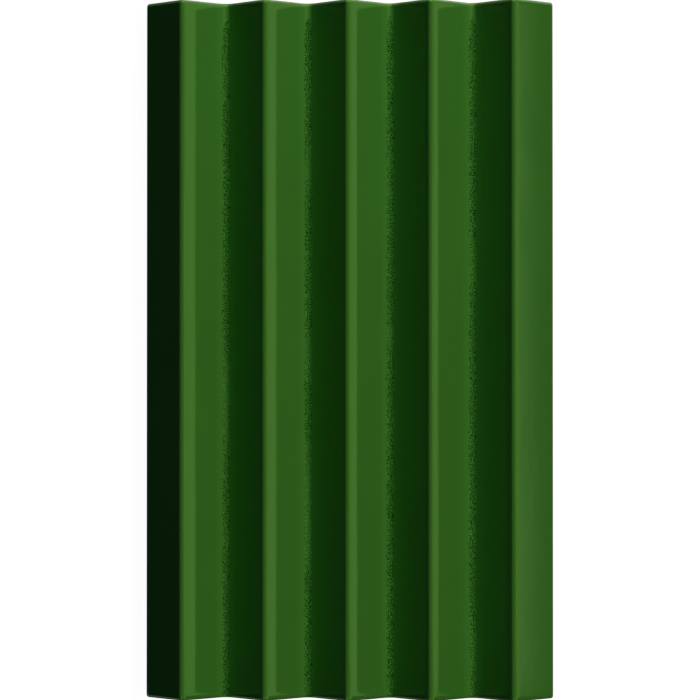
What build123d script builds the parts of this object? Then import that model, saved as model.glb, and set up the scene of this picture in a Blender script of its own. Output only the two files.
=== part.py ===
from build123d import *

import os
from math import atan, cos, sqrt, tan

# A ridged wall tile of pressed and glazed porcelain, lying on its back. All lengths are in millimetres.
# X runs across the ridges, Y along them and Z up out of the glazed face. The origin is the middle of the back.

# Outline
TILE_WIDTH = 186.0
TILE_LENGTH = 318.0
CORNER_RADIUS = 1.2  # the four upright corners

# Ridges
RIDGE_COUNT = 5
GROUT_JOINT = 2.0  # gap to the next tile, over which the ridges keep their even spacing
BODY_THICKNESS = 8.0  # from the back to the bottom of a valley
RIDGE_HEIGHT = 16.0  # from the bottom of a valley to the top of a crest
CREST_RADIUS = 2.5
VALLEY_RADIUS = 2.5
RIM_RADIUS = 1.6  # where the ridged face turns over into the sides

# Keyed back, which the adhesive grips
KEY_COLUMNS = 8
KEY_ROWS = 14
KEY_BORDER = 9.0  # flat margin round the pockets
KEY_RIB = 4.0  # flat rib between two pockets
KEY_DEPTH = 1.0
KEY_CORNER = 2.5  # cut off each corner of a pocket
KEY_DRAFT = 30.0  # degrees by which a pocket's walls lean, so that the press lets go
BACK_CHAMFER = 0.8

SAME_LEVEL = 0.001  # points closer in height than this count as level

# Worked out from the sizes above
ridge_pitch = (TILE_WIDTH + GROUT_JOINT) / RIDGE_COUNT
crest_level = BODY_THICKNESS + RIDGE_HEIGHT


def flank_angle():
    """Slope of the flat flanks, in radians, which are tangent to both the crest arcs and the valley arcs."""
    half_pitch = ridge_pitch / 2
    spare = RIDGE_HEIGHT - 2 * (CREST_RADIUS + VALLEY_RADIUS)
    reach = sqrt(half_pitch**2 + RIDGE_HEIGHT * spare)
    return 2 * atan(RIDGE_HEIGHT / (half_pitch + reach))


def ridge_section():
    """Section across the tile: a flat back under ridges whose crests and valleys are rounded."""
    slope = flank_angle()
    round_off = 1 / cos(slope) - 1
    sharp_crest = crest_level + CREST_RADIUS * round_off
    sharp_valley = BODY_THICKNESS - VALLEY_RADIUS * round_off
    edge_level = sharp_valley + GROUT_JOINT / 2 * tan(slope)
    first_crest = -ridge_pitch * (RIDGE_COUNT - 1) / 2
    crests = [(first_crest + i * ridge_pitch, sharp_crest) for i in range(RIDGE_COUNT)]
    valleys = [(x + ridge_pitch / 2, sharp_valley) for x, _ in crests[:-1]]
    left, right = -TILE_WIDTH / 2, TILE_WIDTH / 2
    face_line = [(left, edge_level), *sorted(crests + valleys), (right, edge_level)]
    section = Plane.XZ * make_face(Polyline((left, 0), *face_line, (right, 0), close=True))
    for level, radius in ((sharp_crest, CREST_RADIUS), (sharp_valley, VALLEY_RADIUS)):
        points = section.vertices().filter_by_position(Axis.Z, level - SAME_LEVEL, level + SAME_LEVEL)
        section = fillet(points, radius)
    return section


def ridged_blank():
    """The section drawn out to the tile's length, with the rim of its ridged face rounded over."""
    blank = extrude(ridge_section(), TILE_LENGTH / 2, both=True)
    sides = blank.faces().filter_by(Axis.X) + blank.faces().filter_by(Axis.Y)
    level_edges = sides.edges().filter_by(Axis.Z, reverse=True)
    rim = level_edges.filter_by_position(Axis.Z, BODY_THICKNESS / 2, crest_level)
    return fillet(rim, RIM_RADIUS)


def plan_prism():
    """The tile's outline in plan, with rounded corners and a chamfer round the back."""
    prism = extrude(RectangleRounded(TILE_WIDTH, TILE_LENGTH, CORNER_RADIUS), crest_level)
    return chamfer(prism.faces().sort_by(Axis.Z)[0].edges(), BACK_CHAMFER)


def key_pockets():
    """The grid of shallow drafted pockets in the back, with flat ribs left between them."""
    pocket_width = (TILE_WIDTH - 2 * KEY_BORDER + KEY_RIB) / KEY_COLUMNS - KEY_RIB
    pocket_length = (TILE_LENGTH - 2 * KEY_BORDER + KEY_RIB) / KEY_ROWS - KEY_RIB
    outline = Rectangle(pocket_width, pocket_length)
    outline = chamfer(outline.vertices(), KEY_CORNER)
    pocket = extrude(outline, KEY_DEPTH, taper=KEY_DRAFT)
    grid = GridLocations(pocket_width + KEY_RIB, pocket_length + KEY_RIB, KEY_COLUMNS, KEY_ROWS)
    return [place * pocket for place in grid]


def porcelain_tile():
    """The finished tile: ridged face, rounded rim, square sides and keyed back."""
    return (ridged_blank() & plan_prism()) - key_pockets()


os.makedirs("parts", exist_ok=True)
export_step(porcelain_tile(), "parts/porcelain_tile.step")
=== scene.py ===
"""A ridged wall tile of glazed porcelain, lying on its back in a plain studio.

The tile is one pressed and fired piece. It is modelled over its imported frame, in metres, with X across
the ridges, Y along them and Z out of the glazed face.
"""

import logging
import math
from collections.abc import Iterable
from dataclasses import dataclass, field
from enum import Enum
from typing import Any

import bmesh
import bpy
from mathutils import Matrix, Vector, noise


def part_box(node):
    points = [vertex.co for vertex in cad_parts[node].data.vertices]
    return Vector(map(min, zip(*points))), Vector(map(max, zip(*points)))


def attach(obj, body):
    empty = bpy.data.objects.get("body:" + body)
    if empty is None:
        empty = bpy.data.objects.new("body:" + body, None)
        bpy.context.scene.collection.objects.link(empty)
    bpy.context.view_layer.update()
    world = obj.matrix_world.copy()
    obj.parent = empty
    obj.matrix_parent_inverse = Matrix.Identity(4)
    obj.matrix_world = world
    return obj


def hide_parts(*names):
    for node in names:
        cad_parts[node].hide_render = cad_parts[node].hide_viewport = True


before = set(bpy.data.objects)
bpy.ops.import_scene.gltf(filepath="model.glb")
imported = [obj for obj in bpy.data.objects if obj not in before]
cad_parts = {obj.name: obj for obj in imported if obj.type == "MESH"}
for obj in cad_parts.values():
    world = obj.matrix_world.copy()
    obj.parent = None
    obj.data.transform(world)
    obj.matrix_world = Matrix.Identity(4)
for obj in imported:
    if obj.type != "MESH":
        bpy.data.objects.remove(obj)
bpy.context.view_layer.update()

MM = 0.001
TOUCHING = 0.001 * MM
SAME_LEAN = 0.0001
NEARLY_ALL = 0.9
THIN_GLAZE_AND_HEAD_LIGHT = "thin_glaze_and_head_light"
LOG = logging.getLogger("porcelain_tile")

Tree = bpy.types.NodeTree
Socket = bpy.types.NodeSocket


def linear(hex_colour: str) -> tuple[float, float, float, float]:
    """Turn an sRGB colour into the linear light that shaders use.

    Args:
        hex_colour: Six hex digits, red first, such as "2e5a1c".

    Returns:
        Linear red, green and blue, with an alpha of one.
    """
    shares = [int(hex_colour[i : i + 2], 16) / 255 for i in (0, 2, 4)]
    red, green, blue = (s / 12.92 if s <= 0.04045 else ((s + 0.055) / 1.055) ** 2.4 for s in shares)
    return red, green, blue, 1.0


def add_node(
    tree: Tree, kind: str, inputs: dict[Any, Any] | None = None, **settings: Any
) -> bpy.types.Node:
    """Add one shader node with its settings, and fill or link its inputs.

    Args:
        tree: Node tree that gets the node.
        kind: Blender's name for the node, without the leading "ShaderNode".
        inputs: Input name or number to a value, or to the output socket that feeds it.
        **settings: Properties of the node itself, such as operation or data_type.

    Returns:
        The new node.
    """
    node = tree.nodes.new("ShaderNode" + kind)
    for name, value in settings.items():
        setattr(node, name, value)
    for name, value in (inputs or {}).items():
        if isinstance(value, Socket):
            tree.links.new(value, node.inputs[name])
        else:
            node.inputs[name].default_value = value
    return node


def round_edges(
    mesh: bmesh.types.BMesh, edges: Iterable[bmesh.types.BMEdge], reach: float, steps: int
) -> None:
    """Round edges over.

    Args:
        mesh: Mesh that holds the edges.
        edges: The edges to round.
        reach: How far the rounding reaches from each edge, along the faces beside it.
        steps: Number of facets round the arc.
    """
    bmesh.ops.bevel(
        mesh,
        geom=list(edges),
        offset=reach,
        offset_type="OFFSET",
        segments=steps,
        profile=0.5,
        affect="EDGES",
        material=-1,
        clamp_overlap=False,
    )
    mesh.normal_update()


def cut_faces(
    mesh: bmesh.types.BMesh, faces: Iterable[bmesh.types.BMFace], point: Vector, normal: Vector
) -> None:
    """Cut some faces along a plane, without moving anything.

    Args:
        mesh: Mesh that holds the faces.
        faces: The faces to cut.
        point: A point of the plane.
        normal: The plane's normal.
    """
    faces = list(faces)
    edges = {edge for face in faces for edge in face.edges}
    corners = {corner for face in faces for corner in face.verts}
    bmesh.ops.bisect_plane(
        mesh, geom=[*corners, *edges, *faces], dist=TOUCHING, plane_co=point, plane_no=normal
    )


class Zone(Enum):
    """The finish that a face of the tile carries, as its material's place on the mesh."""

    GLAZED = 0
    BARE = 1


@dataclass(frozen=True)
class FiredPorcelain:
    """Bare fired porcelain: dense, pale and dry, with a fine grit left by the pressed powder."""

    # To the eye it is matt and chalky, faintly clouded, with a grit that scatters the light.
    name: str = "fired_porcelain"
    colour: str = "cfc6b4"
    shade: str = "a99d88"
    shade_below: float = 0.12
    colour_above: float = 0.38
    roughness: float = 0.72
    ior: float = 1.5
    cloud_mm: float = 22.0
    grit_mm: float = 0.7  # finer in life, drawn as coarse as it needs to show
    grit_height_mm: float = 0.05

    def colour_socket(self, tree: Tree, place: Socket) -> Socket:
        """Make the body's clouded colour.

        Args:
            tree: Node tree that gets the nodes.
            place: Object coordinates, in metres.

        Returns:
            The colour's output socket.
        """
        cloud = add_node(
            tree, "TexNoise", {"Vector": place, "Scale": 1 / (self.cloud_mm * MM), "Detail": 4.0}
        )
        grit = add_node(
            tree, "TexNoise", {"Vector": place, "Scale": 1 / (self.grit_mm * MM), "Detail": 2.0}
        )
        both = add_node(
            tree, "Math", {0: cloud.outputs["Fac"], 1: grit.outputs["Fac"]}, operation="MULTIPLY"
        )
        share = add_node(
            tree,
            "MapRange",
            {"Value": both.outputs[0], "From Min": self.shade_below, "From Max": self.colour_above},
        )
        mix = add_node(
            tree,
            "Mix",
            {"Factor": share.outputs[0], "A": linear(self.shade), "B": linear(self.colour)},
            data_type="RGBA",
        )
        return mix.outputs["Result"]

    def material(self) -> bpy.types.Material:
        """Make the material of the unglazed back."""
        material = bpy.data.materials.new(self.name)
        material.use_nodes = True
        tree = material.node_tree
        shader = tree.nodes["Principled BSDF"]
        place = add_node(tree, "TexCoord").outputs["Object"]
        grit = add_node(
            tree, "TexNoise", {"Vector": place, "Scale": 1 / (self.grit_mm * MM), "Detail": 3.0}
        )
        bump = add_node(
            tree, "Bump", {"Height": grit.outputs["Fac"], "Distance": self.grit_height_mm * MM}
        )
        tree.links.new(self.colour_socket(tree, place), shader.inputs["Base Color"])
        tree.links.new(bump.outputs["Normal"], shader.inputs["Normal"])
        shader.inputs["Roughness"].default_value = self.roughness
        shader.inputs["IOR"].default_value = self.ior
        return material


@dataclass(frozen=True)
class GreenGlaze:
    """Glossy leaf-green glaze: an even film on the flanks, with painted bounce light beside the valleys.

    Its glaze thins over the rims, with painted light on the head rim, which faces the lamps. It is
    grainy where it ran together in the valleys, with painted shade in the low grains and painted
    highlights on the high ones. Lengths whose names don't end in mm are in metres.
    """

    # To the eye it is wet and deep, with clear mirrored bands that break up only in the grainy valleys.
    body: FiredPorcelain
    half_pitch: float
    outer_edge: float
    end: float
    name: str = "green_gloss_glaze"
    colour: str = "469239"
    cloud: str = "428c35"
    # Painted bounce light: the film is drawn paler beside the valleys, where light bounces across them.
    bounce_paint: str = "4d9840"
    # Pale rim colour: glaze thinned over the edges, and painted light on the head rim, which faces the
    # lamps.
    thin_and_lit: str = "a4c27c"
    # Grain colours follow the grains' height: real grain, with painted shade in the low pits and painted
    # highlights on the high specks.
    shaded_pit: str = "0a4c0e"
    lit_speck: str = "53aa45"
    gloss_tint: str = "aeff60"
    roughness: float = 0.07
    grain_roughness: float = 0.7
    gloss: float = 0.5
    grain_gloss: float = 0.15
    ior: float = 1.5
    cloud_mm: float = 28.0
    peel_mm: float = 5.0
    peel_height_mm: float = 0.01
    bounce_paint_near_mm: float = 1.5
    bounce_paint_far_mm: float = 5.0
    thin_and_lit_share: float = 0.4
    glaze_line_mm: float = 2.4
    line_blur_mm: float = 0.25
    line_wander_mm: float = 1.6
    line_drift_mm: float = 9.0
    grain_reach_mm: float = 2.0
    grain_wander_mm: float = 2.4
    grain_edge_mm: float = 0.5
    ragged_mm: float = 1.6
    run_mm: float = 38.0
    faint_grain: float = 0.62
    faint_below: float = 0.3
    full_above: float = 0.45
    smooth_head_mm: float = 5.0
    fading_head_mm: float = 11.0
    speck_mm: float = 0.5  # finer in life, drawn as coarse as it needs to show
    speck_height_mm: float = 0.15
    pit_below: float = 0.47
    speck_above: float = 0.54

    def material(self) -> bpy.types.Material:
        """Make the material of the glazed face and sides."""
        material = bpy.data.materials.new(self.name)
        material.use_nodes = True
        tree = material.node_tree
        shader = tree.nodes["Principled BSDF"]
        place = add_node(tree, "TexCoord").outputs["Object"]
        axes = add_node(tree, "SeparateXYZ", {0: place})
        from_valley = self.valley_socket(tree, axes)
        grain = self.grain_socket(tree, place, axes, from_valley)
        bare = self.bare_socket(tree, place, axes)
        specks = add_node(
            tree, "TexNoise", {"Vector": place, "Scale": 1 / (self.speck_mm * MM), "Detail": 1.0}
        )
        lit_speck = specks.outputs["Fac"]

        glazed = self.colour_socket(tree, place, from_valley, grain, lit_speck)
        shown = add_node(
            tree,
            "Mix",
            {"Factor": bare, "A": glazed, "B": self.body.colour_socket(tree, place)},
            data_type="RGBA",
        )
        tree.links.new(shown.outputs["Result"], shader.inputs["Base Color"])

        dull = add_node(
            tree, "MapRange", {"Value": grain, "To Min": self.roughness, "To Max": self.grain_roughness}
        )
        dry = add_node(
            tree,
            "Mix",
            {"Factor": bare, "A": dull.outputs[0], "B": self.body.roughness},
            data_type="FLOAT",
        )
        tree.links.new(dry.outputs["Result"], shader.inputs["Roughness"])
        matt = add_node(
            tree, "MapRange", {"Value": grain, "To Min": self.gloss, "To Max": self.grain_gloss}
        )
        tree.links.new(matt.outputs[0], shader.inputs["Specular IOR Level"])
        shader.inputs["IOR"].default_value = self.ior
        shader.inputs["Specular Tint"].default_value = linear(self.gloss_tint)

        peel = add_node(
            tree, "TexNoise", {"Vector": place, "Scale": 1 / (self.peel_mm * MM), "Detail": 2.0}
        )
        soft = add_node(
            tree, "Bump", {"Height": peel.outputs["Fac"], "Distance": self.peel_height_mm * MM}
        )
        height = add_node(tree, "Math", {0: lit_speck, 1: grain}, operation="MULTIPLY")
        rough = add_node(
            tree,
            "Bump",
            {
                "Height": height.outputs[0],
                "Distance": self.speck_height_mm * MM,
                "Normal": soft.outputs["Normal"],
            },
        )
        tree.links.new(rough.outputs["Normal"], shader.inputs["Normal"])
        return material

    def colour_socket(
        self, tree: Tree, place: Socket, from_valley: Socket, grain: Socket, lit_speck: Socket
    ) -> Socket:
        """Make the glaze's colour: film, painted bounce light by the valleys, grain with painted shade
        and highlights, and rims with thinned glaze and painted light on the head rim.

        Args:
            tree: Node tree that gets the nodes.
            place: Object coordinates, in metres.
            from_valley: Distance from the nearest valley line.
            grain: How grainy the glaze is, from nought to one.
            lit_speck: Fine noise that makes the single grains; it also sets their painted shade and
                highlights.

        Returns:
            The colour's output socket.
        """
        clouds = add_node(
            tree, "TexNoise", {"Vector": place, "Scale": 1 / (self.cloud_mm * MM), "Detail": 3.0}
        )
        film = add_node(
            tree,
            "Mix",
            {"Factor": clouds.outputs["Fac"], "A": linear(self.colour), "B": linear(self.cloud)},
            data_type="RGBA",
        )
        # Painted bounce light: the film is paler near each valley line and fades towards the crests.
        near = add_node(
            tree,
            "MapRange",
            {
                "Value": from_valley,
                "From Min": self.bounce_paint_far_mm * MM,
                "From Max": self.bounce_paint_near_mm * MM,
            },
        )
        bounce_painted = add_node(
            tree,
            "Mix",
            {"Factor": near.outputs[0], "A": film.outputs["Result"], "B": linear(self.bounce_paint)},
            data_type="RGBA",
        )
        # Low grains take the dark pit colour as painted shade, and high grains the pale speck colour as
        # a painted highlight.
        crisp = add_node(
            tree,
            "MapRange",
            {"Value": lit_speck, "From Min": self.pit_below, "From Max": self.speck_above},
        )
        grains = add_node(
            tree,
            "Mix",
            {"Factor": crisp.outputs[0], "A": linear(self.shaded_pit), "B": linear(self.lit_speck)},
            data_type="RGBA",
        )
        grainy = add_node(
            tree,
            "Mix",
            {"Factor": grain, "A": bounce_painted.outputs["Result"], "B": grains.outputs["Result"]},
            data_type="RGBA",
        )
        # Pale rims: thinned glaze over the edges, with painted light on the head rim.
        rim = add_node(tree, "Attribute", attribute_name=THIN_GLAZE_AND_HEAD_LIGHT)
        drawn = add_node(
            tree, "Math", {0: rim.outputs["Fac"], 1: self.thin_and_lit_share}, operation="MULTIPLY"
        )
        coat = add_node(
            tree,
            "Mix",
            {"Factor": drawn.outputs[0], "A": grainy.outputs["Result"], "B": linear(self.thin_and_lit)},
            data_type="RGBA",
        )
        return coat.outputs["Result"]

    def valley_socket(self, tree: Tree, axes: bpy.types.Node) -> Socket:
        """Measure the distance from the nearest valley line between two ridges.

        Args:
            tree: Node tree that gets the nodes.
            axes: Node that gives the object coordinates one by one.

        Returns:
            Socket with the distance, in metres. It is never small along the outer long edges.
        """
        from_crest = add_node(
            tree, "Math", {0: axes.outputs["X"], 1: self.half_pitch}, operation="PINGPONG"
        )
        inner = add_node(
            tree, "Math", {0: self.half_pitch, 1: from_crest.outputs[0]}, operation="SUBTRACT"
        )
        aside = add_node(tree, "Math", {0: axes.outputs["X"]}, operation="ABSOLUTE")
        outer = add_node(
            tree,
            "Math",
            {0: aside.outputs[0], 1: self.outer_edge - self.half_pitch / 2},
            operation="GREATER_THAN",
        )
        apart = add_node(
            tree,
            "Math",
            {0: outer.outputs[0], 1: self.half_pitch, 2: inner.outputs[0]},
            operation="MULTIPLY_ADD",
        )
        return apart.outputs[0]

    def grain_socket(
        self, tree: Tree, place: Socket, axes: bpy.types.Node, from_valley: Socket
    ) -> Socket:
        """Say how grainy the glaze is: a ragged band along each valley, fainter in some stretches.

        Args:
            tree: Node tree that gets the nodes.
            place: Object coordinates, in metres.
            axes: Node that gives those coordinates one by one.
            from_valley: Distance from the nearest valley line.

        Returns:
            Socket that is up to one in the band and nought elsewhere.
        """
        reach = self.grain_reach_mm * MM
        ragged = add_node(
            tree, "TexNoise", {"Vector": place, "Scale": 1 / (self.ragged_mm * MM), "Detail": 2.0}
        )
        centred = add_node(tree, "Math", {0: ragged.outputs["Fac"], 1: 0.5}, operation="SUBTRACT")
        wander = add_node(
            tree,
            "Math",
            {0: centred.outputs[0], 1: -self.grain_wander_mm * MM, 2: from_valley},
            operation="MULTIPLY_ADD",
        )
        ending = add_node(
            tree,
            "MapRange",
            {
                "Value": axes.outputs["Y"],
                "From Min": self.end - self.fading_head_mm * MM,
                "From Max": self.end - self.smooth_head_mm * MM,
                "To Max": reach,
            },
        )
        tapered = add_node(tree, "Math", {0: wander.outputs[0], 1: ending.outputs[0]}, operation="ADD")
        runs = add_node(
            tree, "TexNoise", {"Vector": place, "Scale": 1 / (self.run_mm * MM), "Detail": 1.0}
        )
        strength = add_node(
            tree,
            "MapRange",
            {
                "Value": runs.outputs["Fac"],
                "From Min": self.faint_below,
                "From Max": self.full_above,
                "To Min": self.faint_grain,
            },
        )
        band = add_node(
            tree,
            "MapRange",
            {
                "Value": tapered.outputs[0],
                "From Min": reach,
                "From Max": reach - self.grain_edge_mm * MM,
                "To Max": strength.outputs[0],
            },
        )
        return band.outputs[0]

    def bare_socket(self, tree: Tree, place: Socket, axes: bpy.types.Node) -> Socket:
        """Say where the sides are bare: below the uneven line at which the glaze stopped running.

        Args:
            tree: Node tree that gets the nodes.
            place: Object coordinates, in metres.
            axes: Node that gives those coordinates one by one.

        Returns:
            Socket that is one on bare body and nought on glaze.
        """
        drift = add_node(
            tree, "TexNoise", {"Vector": place, "Scale": 1 / (self.line_drift_mm * MM), "Detail": 3.0}
        )
        centred = add_node(tree, "Math", {0: drift.outputs["Fac"], 1: 0.5}, operation="SUBTRACT")
        level = add_node(
            tree,
            "Math",
            {0: centred.outputs[0], 1: self.line_wander_mm * MM, 2: axes.outputs["Z"]},
            operation="MULTIPLY_ADD",
        )
        bare = add_node(
            tree,
            "MapRange",
            {
                "Value": level.outputs[0],
                "From Min": self.glaze_line_mm * MM,
                "From Max": (self.glaze_line_mm - self.line_blur_mm) * MM,
            },
        )
        return bare.outputs[0]


@dataclass
class RidgedTile:
    """The tile as one pressed piece, with its outer sizes from the frame.

    Lengths are in metres. The sharp levels are where the flanks would meet if they weren't rolled round.
    """

    node: str = "porcelain_tile"
    ridge_count: int = 5
    grout_joint: float = 2.0 * MM
    body_thickness: float = 8.0 * MM
    crest_radius: float = 2.5 * MM
    valley_radius: float = 2.5 * MM
    rim_radius: float = 1.6 * MM
    corner_radius: float = 1.1 * MM
    back_radius: float = 0.8 * MM
    key_columns: int = 8
    key_rows: int = 14
    key_border: float = 9.0 * MM
    key_rib: float = 4.0 * MM
    key_depth: float = 1.0 * MM
    key_draft: float = math.radians(30.0)
    key_corner: float = 2.5 * MM
    crest_steps: int = 10
    valley_steps: int = 10
    rim_steps: int = 5
    corner_steps: int = 4
    back_steps: int = 3
    key_corner_steps: int = 5
    score_gap: float = 0.4 * MM
    rows: int = 420
    ripple_height: float = 0.035 * MM
    ripple_length: float = 32.0 * MM
    ripple_fade: float = 8.0 * MM
    grain_height: float = 0.07 * MM
    grain_size: float = 0.8 * MM
    grain_reach: float = 1.7 * MM
    side_thinning: float = 0.2
    # The foot rim's share of the head rim's paleness; the head's extra is painted light from the lamps
    # there.
    foot_share_of_head: float = 0.2
    crisp_turn: float = math.radians(32.0)
    facing_down: float = -0.1

    width: float = field(init=False)
    length: float = field(init=False)
    height: float = field(init=False)
    side: float = field(init=False)
    end: float = field(init=False)
    pitch: float = field(init=False)
    slope: float = field(init=False)
    sharp_crest: float = field(init=False)
    sharp_valley: float = field(init=False)
    edge_level: float = field(init=False)

    def __post_init__(self) -> None:
        """Read the outer sizes from the frame and work out the ridges' slope and sharp levels."""
        low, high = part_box(self.node)
        self.width, self.length, self.height = (top - bottom for bottom, top in zip(low, high))
        self.side, self.end = self.width / 2, self.length / 2
        self.pitch = (self.width + self.grout_joint) / self.ridge_count
        relief = self.height - self.body_thickness
        half = self.pitch / 2
        spare = relief - 2 * (self.crest_radius + self.valley_radius)
        self.slope = 2 * math.atan(relief / (half + math.sqrt(half**2 + relief * spare)))
        round_off = 1 / math.cos(self.slope) - 1
        self.sharp_crest = self.height + self.crest_radius * round_off
        self.sharp_valley = self.body_thickness - self.valley_radius * round_off
        self.edge_level = self.sharp_valley + self.grout_joint / 2 * math.tan(self.slope)

    def build(self, glaze: GreenGlaze, body: FiredPorcelain) -> bpy.types.Object:
        """Press, round, key and dress the tile.

        Args:
            glaze: Finish of the ridged face and the sides.
            body: Finish of the back.

        Returns:
            The finished tile, riding on the frame in place of its solid.
        """
        mesh = bmesh.new()
        self.press(mesh)
        self.roll_ridges(mesh)
        self.score_flanks(mesh)
        self.round_rims(mesh)
        self.key_back(mesh)
        self.divide_length(mesh)
        self.ripple(mesh)
        self.draw_thin_and_lit(mesh)
        self.set_finish(mesh)
        data = bpy.data.meshes.new("ridged_tile")
        mesh.to_mesh(data)
        mesh.free()
        tile = bpy.data.objects.new("ridged_tile", data)
        bpy.context.scene.collection.objects.link(tile)
        for finish in (glaze, body):
            data.materials.append(finish.material())
        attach(tile, "root")
        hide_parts(self.node)
        return tile

    def crest_lines(self) -> list[float]:
        """List where the crests are, from left to right."""
        first = -self.pitch * (self.ridge_count - 1) / 2
        return [first + i * self.pitch for i in range(self.ridge_count)]

    def from_valley(self, across: float) -> float:
        """Measure how far a place is from the nearest valley line between two ridges."""
        nearest = round(across / self.pitch - 0.5) + 0.5
        nearest = max(1 - self.ridge_count / 2, min(self.ridge_count / 2 - 1, nearest))
        return abs(across - nearest * self.pitch)

    def press(self, mesh: bmesh.types.BMesh) -> None:
        """Draw the sharp section at one end and extrude it over the tile's length."""
        section = [(-self.side, 0.0), (-self.side, self.edge_level)]
        for crest in self.crest_lines():
            section += [(crest, self.sharp_crest), (crest + self.pitch / 2, self.sharp_valley)]
        section[-1] = (self.side, self.edge_level)
        section.append((self.side, 0.0))
        start = mesh.faces.new([mesh.verts.new((x, -self.end, z)) for x, z in section])
        grown = bmesh.ops.extrude_face_region(mesh, geom=[start])["geom"]
        moved = [part for part in grown if isinstance(part, bmesh.types.BMVert)]
        bmesh.ops.translate(mesh, verts=moved, vec=(0, self.length, 0))
        bmesh.ops.recalc_face_normals(mesh, faces=mesh.faces)

    def roll_ridges(self, mesh: bmesh.types.BMesh) -> None:
        """Roll the crests and valleys into arcs tangent to the flanks."""
        rolls = (
            (self.sharp_crest, self.crest_radius, self.crest_steps),
            (self.sharp_valley, self.valley_radius, self.valley_steps),
        )
        for level, radius, steps in rolls:
            lines = [e for e in mesh.edges if all(abs(v.co.z - level) < TOUCHING for v in e.verts)]
            round_edges(mesh, lines, radius * math.tan(self.slope), steps)

    def score_flanks(self, mesh: bmesh.types.BMesh) -> None:
        """Cut each flank lengthwise: close to its arcs, so that it shades flat, and down its middle."""
        lean = math.sin(self.slope)
        arc_end = self.crest_radius * lean + self.score_gap
        arc_start = self.pitch / 2 - self.valley_radius * lean - self.score_gap
        for crest in self.crest_lines():
            for hand in (-1, 1):
                for reach in (arc_end, (arc_end + arc_start) / 2, arc_start):
                    flanks = [f for f in mesh.faces if abs(abs(f.normal.x) - lean) < SAME_LEAN]
                    cut_faces(mesh, flanks, Vector((crest + hand * reach, 0, 0)), Vector((1, 0, 0)))

    def round_rims(self, mesh: bmesh.types.BMesh) -> None:
        """Round the ridges' ends, then the edges of both long sides, then the outline of the back."""
        raised = [e for e in mesh.edges if min(v.co.z for v in e.verts) > self.body_thickness / 2]
        ends = [
            e
            for hand in (-1, 1)
            for e in raised
            if all(abs(v.co.y - hand * self.end) < TOUCHING for v in e.verts)
        ]
        round_edges(mesh, ends, self.rim_radius, self.rim_steps)
        sides = [
            e
            for f in mesh.faces
            if all(abs(abs(v.co.x) - self.side) < TOUCHING for v in f.verts)
            for e in f.edges
            if max(v.co.z for v in e.verts) > TOUCHING
        ]
        round_edges(mesh, sides, self.corner_radius, self.corner_steps)
        outline = {e for f in self.back_faces(mesh) for e in f.edges}
        round_edges(mesh, outline, self.back_radius, self.back_steps)

    def back_faces(self, mesh: bmesh.types.BMesh) -> list[bmesh.types.BMFace]:
        """List the faces that lie in the plane of the back."""
        return [f for f in mesh.faces if all(abs(v.co.z) < TOUCHING for v in f.verts)]

    def key_back(self, mesh: bmesh.types.BMesh) -> None:
        """Sink the grid of drafted pockets, which the adhesive grips, into the back."""
        grids = (
            (Vector((1, 0, 0)), self.width, self.key_columns),
            (Vector((0, 1, 0)), self.length, self.key_rows),
        )
        cell_area = 1.0
        for axis, span, count in grids:
            step = (span - 2 * self.key_border + self.key_rib) / count
            cell_area *= step
            for i in range(count + 1):
                rib = self.key_border - (span + self.key_rib) / 2 + i * step
                cut_faces(mesh, self.back_faces(mesh), axis * rib, axis)
        cells = [f for f in self.back_faces(mesh) if f.calc_area() > NEARLY_ALL * cell_area]
        sunk = self.key_depth * math.tan(self.key_draft)
        for inward, depth in ((self.key_rib / 2, 0.0), (sunk, -self.key_depth)):
            bmesh.ops.inset_individual(
                mesh, faces=cells, thickness=inward, depth=depth, use_even_offset=True
            )
        mesh.normal_update()
        corners = [e for e in mesh.edges if self.runs_down_pocket(e)]
        # The corners slant, so a reach square to them is a little less than the radius in plan.
        lean = math.tan(self.key_draft) ** 2
        reach = self.key_corner * math.sqrt((1 + lean) / (1 + 2 * lean))
        round_edges(mesh, corners, reach, self.key_corner_steps)

    def runs_down_pocket(self, edge: bmesh.types.BMEdge) -> bool:
        """Say whether an edge runs down the corner of a pocket."""
        low, high = sorted(corner.co.z for corner in edge.verts)
        aside = max(abs(corner.co.x) for corner in edge.verts)
        in_grid = aside < self.side - self.key_border + TOUCHING
        return in_grid and low < TOUCHING and abs(high - self.key_depth) < TOUCHING

    def divide_length(self, mesh: bmesh.types.BMesh) -> None:
        """Divide the long strips of the ridged face, so that the glaze can ripple."""
        strips = [
            e
            for e in mesh.edges
            if abs(e.verts[0].co.y - e.verts[1].co.y) > NEARLY_ALL * self.length
            and min(v.co.z for v in e.verts) > self.body_thickness / 2
        ]
        bmesh.ops.subdivide_edges(mesh, edges=strips, cuts=self.rows - 1, use_grid_fill=True)
        mesh.normal_update()

    def ripple(self, mesh: bmesh.types.BMesh) -> None:
        """Let the glaze ripple a little over the ridged face, and roughen it along the valleys."""
        for corner in mesh.verts:
            x, y, z = corner.co
            to_rim = min(self.end - self.rim_radius - abs(y), self.side - self.corner_radius - abs(x))
            if z < self.edge_level - self.corner_radius or to_rim <= 0:
                continue
            fade = min(1.0, to_rim / self.ripple_fade)
            lift = self.ripple_height * noise.noise(corner.co / self.ripple_length)
            if self.from_valley(x) < self.grain_reach:
                lift += self.grain_height * noise.noise(corner.co / self.grain_size)
            corner.co += corner.normal * (lift * fade)
        mesh.normal_update()

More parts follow.
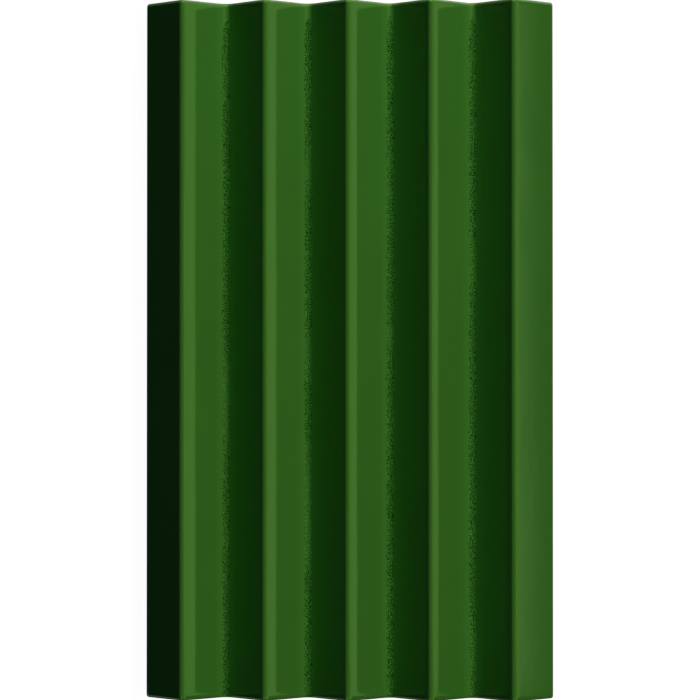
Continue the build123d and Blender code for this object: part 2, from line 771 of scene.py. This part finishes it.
    def draw_thin_and_lit(self, mesh: bmesh.types.BMesh) -> None:
        """Note how pale the rims are: the glaze thins over all edges, plus painted light on the head
        rim, which faces the lamps, palest halfway round it.
        """
        layer = mesh.verts.layers.float.new(THIN_GLAZE_AND_HEAD_LIGHT)
        flank_lean = math.sin(self.slope)
        for corner in mesh.verts:
            if corner.co.z < self.edge_level - 2 * self.corner_radius:
                continue
            thin_and_lit = 0.0
            if abs(corner.co.y) > self.end - self.rim_radius:
                lean = min(1.0, abs(corner.normal.y))
                # The head rim, which faces the lamps, gets the full share: painted light over the
                # thinned glaze.
                most = 1.0 if corner.co.y > 0 else self.foot_share_of_head
                thin_and_lit = most * 4 * lean**2 * (1 - lean**2)
            if abs(corner.co.x) > self.side - self.corner_radius:
                lean = max(0.0, (abs(corner.normal.x) - flank_lean) / (1 - flank_lean))
                thin_and_lit = max(thin_and_lit, self.side_thinning * 4 * lean * (1 - lean))
            corner[layer] = thin_and_lit

    def set_finish(self, mesh: bmesh.types.BMesh) -> None:
        """Shade the faces smooth, keep the pockets' edges crisp and give each face its finish."""
        for face in mesh.faces:
            face.smooth = True
            low = face.calc_center_median().z < self.key_depth + TOUCHING
            bare = low and face.normal.z < self.facing_down
            face.material_index = (Zone.BARE if bare else Zone.GLAZED).value
        for edge in mesh.edges:
            low = max(corner.co.z for corner in edge.verts) < self.key_depth + TOUCHING
            if low and edge.calc_face_angle(0.0) > self.crisp_turn:
                edge.smooth = False


class Seen(Enum):
    """What a lamp gives the tile: its shading, or only the mirrored gloss of a reflecting card."""

    SHADING = (True, False)
    GLOSS = (False, True)


@dataclass(frozen=True)
class SoftBox:
    """One rectangular soft light, given by the part of the sky that it fills as the tile sees it.

    It turns from +X towards +Y. Its turn, low edge and high edge are in degrees, and its width and how
    far away it hangs are in metres.
    """

    name: str
    turn: float
    low: float
    high: float
    width: float
    away: float
    radiance: float
    seen: Seen
    colour: str = "ffffff"

    def hang(self) -> None:
        """Hang the lamp, facing the middle of the tile."""
        turn, lift = math.radians(self.turn), math.radians((self.low + self.high) / 2)
        height = 2 * self.away * math.tan(math.radians(self.high - self.low) / 2)
        data = bpy.data.lights.new(self.name, "AREA")
        data.shape = "RECTANGLE"
        data.size, data.size_y = self.width, height
        data.energy = math.pi * self.width * height * self.radiance
        data.color = linear(self.colour)[:3]
        lamp = bpy.data.objects.new(self.name, data)
        lamp.location = self.away * Vector(
            (math.cos(lift) * math.cos(turn), math.cos(lift) * math.sin(turn), math.sin(lift))
        )
        lamp.rotation_euler = (-lamp.location).to_track_quat("-Z", "Y").to_euler()
        lamp.visible_diffuse, lamp.visible_glossy = self.seen.value
        bpy.context.scene.collection.objects.link(lamp)


@dataclass
class Studio:
    """Pale floor, soft light from the right and the camera above. Lengths are in metres."""

    camera_distance: float = 1.4
    camera_aside: float = 0.0443
    camera_below: float = 0.016
    aim_aside: float = 0.0003
    aim_level: float = 0.008
    frame_width: float = 0.3201
    sensor_mm: float = 36.0
    floor_reach: float = 4.0
    floor_colour: str = "808080"
    floor_roughness: float = 0.9
    glow_colour: str = "ffffff"
    floor_glow: float = 0.95
    room_colour: str = "a8d4ff"
    room_strength: float = 0.03
    # Each row has a lamp's name, turn, low edge, high edge, width, distance and radiance.
    lamps: tuple[SoftBox, ...] = (
        SoftBox("key", 14, 38, 52, 2.8, 3.0, 6.2, Seen.SHADING, "ffe0c4"),
        SoftBox("rim", 84, 1, 11, 0.42, 1.5, 24.0, Seen.SHADING),
        SoftBox("front", -86, 1, 11, 0.42, 1.5, 3.0, Seen.SHADING),
        SoftBox("side_card", 25, 2.2, 72, 2.06, 1.2, 1.22, Seen.GLOSS),
        SoftBox("end_card", 96, 5, 60, 0.87, 1.2, 2.5, Seen.GLOSS),
        SoftBox("front_card", -80, 8, 62, 2.8, 1.2, 0.3, Seen.GLOSS),
        SoftBox("left_strip", -120, 12, 66, 0.34, 1.2, 2.2, Seen.GLOSS),
        SoftBox("right_strip", -48, 12, 66, 0.34, 1.2, 1.9, Seen.GLOSS),
        SoftBox("side_strip", -4, 48, 66, 0.4, 1.2, 0.9, Seen.GLOSS),
        SoftBox("ceiling_card", 14, 75, 135, 1.8, 1.2, 0.55, Seen.GLOSS),
        SoftBox("head_paper", 55, -60, 0, 1.0, 0.9, 0.9, Seen.GLOSS),
        SoftBox("left_paper", -140, -22, -8, 0.8, 0.9, 0.6, Seen.GLOSS),
    )

    def place_camera(self) -> None:
        """Hang the camera above the tile, a little to its right, and aim it at the middle."""
        data = bpy.data.cameras.new("camera")
        data.sensor_width = self.sensor_mm
        data.lens = self.sensor_mm * self.camera_distance / self.frame_width
        camera = bpy.data.objects.new("camera", data)
        camera.location = (self.camera_aside, -self.camera_below, self.aim_level + self.camera_distance)
        camera.rotation_euler = (
            math.atan(self.camera_below / self.camera_distance),
            math.atan((self.camera_aside - self.aim_aside) / self.camera_distance),
            0.0,
        )
        bpy.context.scene.collection.objects.link(camera)
        bpy.context.scene.camera = camera

    def lay_floor(self) -> None:
        """Lay the pale floor under the tile."""
        mesh = bmesh.new()
        bmesh.ops.create_grid(mesh, x_segments=1, y_segments=1, size=self.floor_reach)
        data = bpy.data.meshes.new("floor")
        mesh.to_mesh(data)
        mesh.free()
        floor = bpy.data.objects.new("floor", data)
        material = bpy.data.materials.new("white_paper")
        material.use_nodes = True
        shader = material.node_tree.nodes["Principled BSDF"]
        shader.inputs["Base Color"].default_value = linear(self.floor_colour)
        shader.inputs["Roughness"].default_value = self.floor_roughness
        shader.inputs["Emission Color"].default_value = linear(self.glow_colour)
        shader.inputs["Emission Strength"].default_value = self.floor_glow
        data.materials.append(material)
        floor.visible_diffuse = False
        floor.visible_glossy = False
        bpy.context.scene.collection.objects.link(floor)

    def light(self) -> None:
        """Hang the lamps and set the dim room and the plain colour handling."""
        for lamp in self.lamps:
            lamp.hang()
        world = bpy.data.worlds.new("room")
        world.use_nodes = True
        background = world.node_tree.nodes["Background"]
        background.inputs["Color"].default_value = linear(self.room_colour)
        background.inputs["Strength"].default_value = self.room_strength
        bpy.context.scene.world = world
        bpy.context.scene.view_settings.view_transform = "Standard"


def main() -> None:
    """Build the tile and its studio, and log the tile's face count."""
    logging.basicConfig(level=logging.INFO)
    tile = RidgedTile()
    body = FiredPorcelain()
    piece = tile.build(GreenGlaze(body, tile.pitch / 2, tile.side, tile.end), body)
    LOG.info("%s: %d faces", piece.name, len(piece.data.polygons))
    studio = Studio()
    studio.lay_floor()
    studio.place_camera()
    studio.light()


if __name__ == "__main__":
    main()
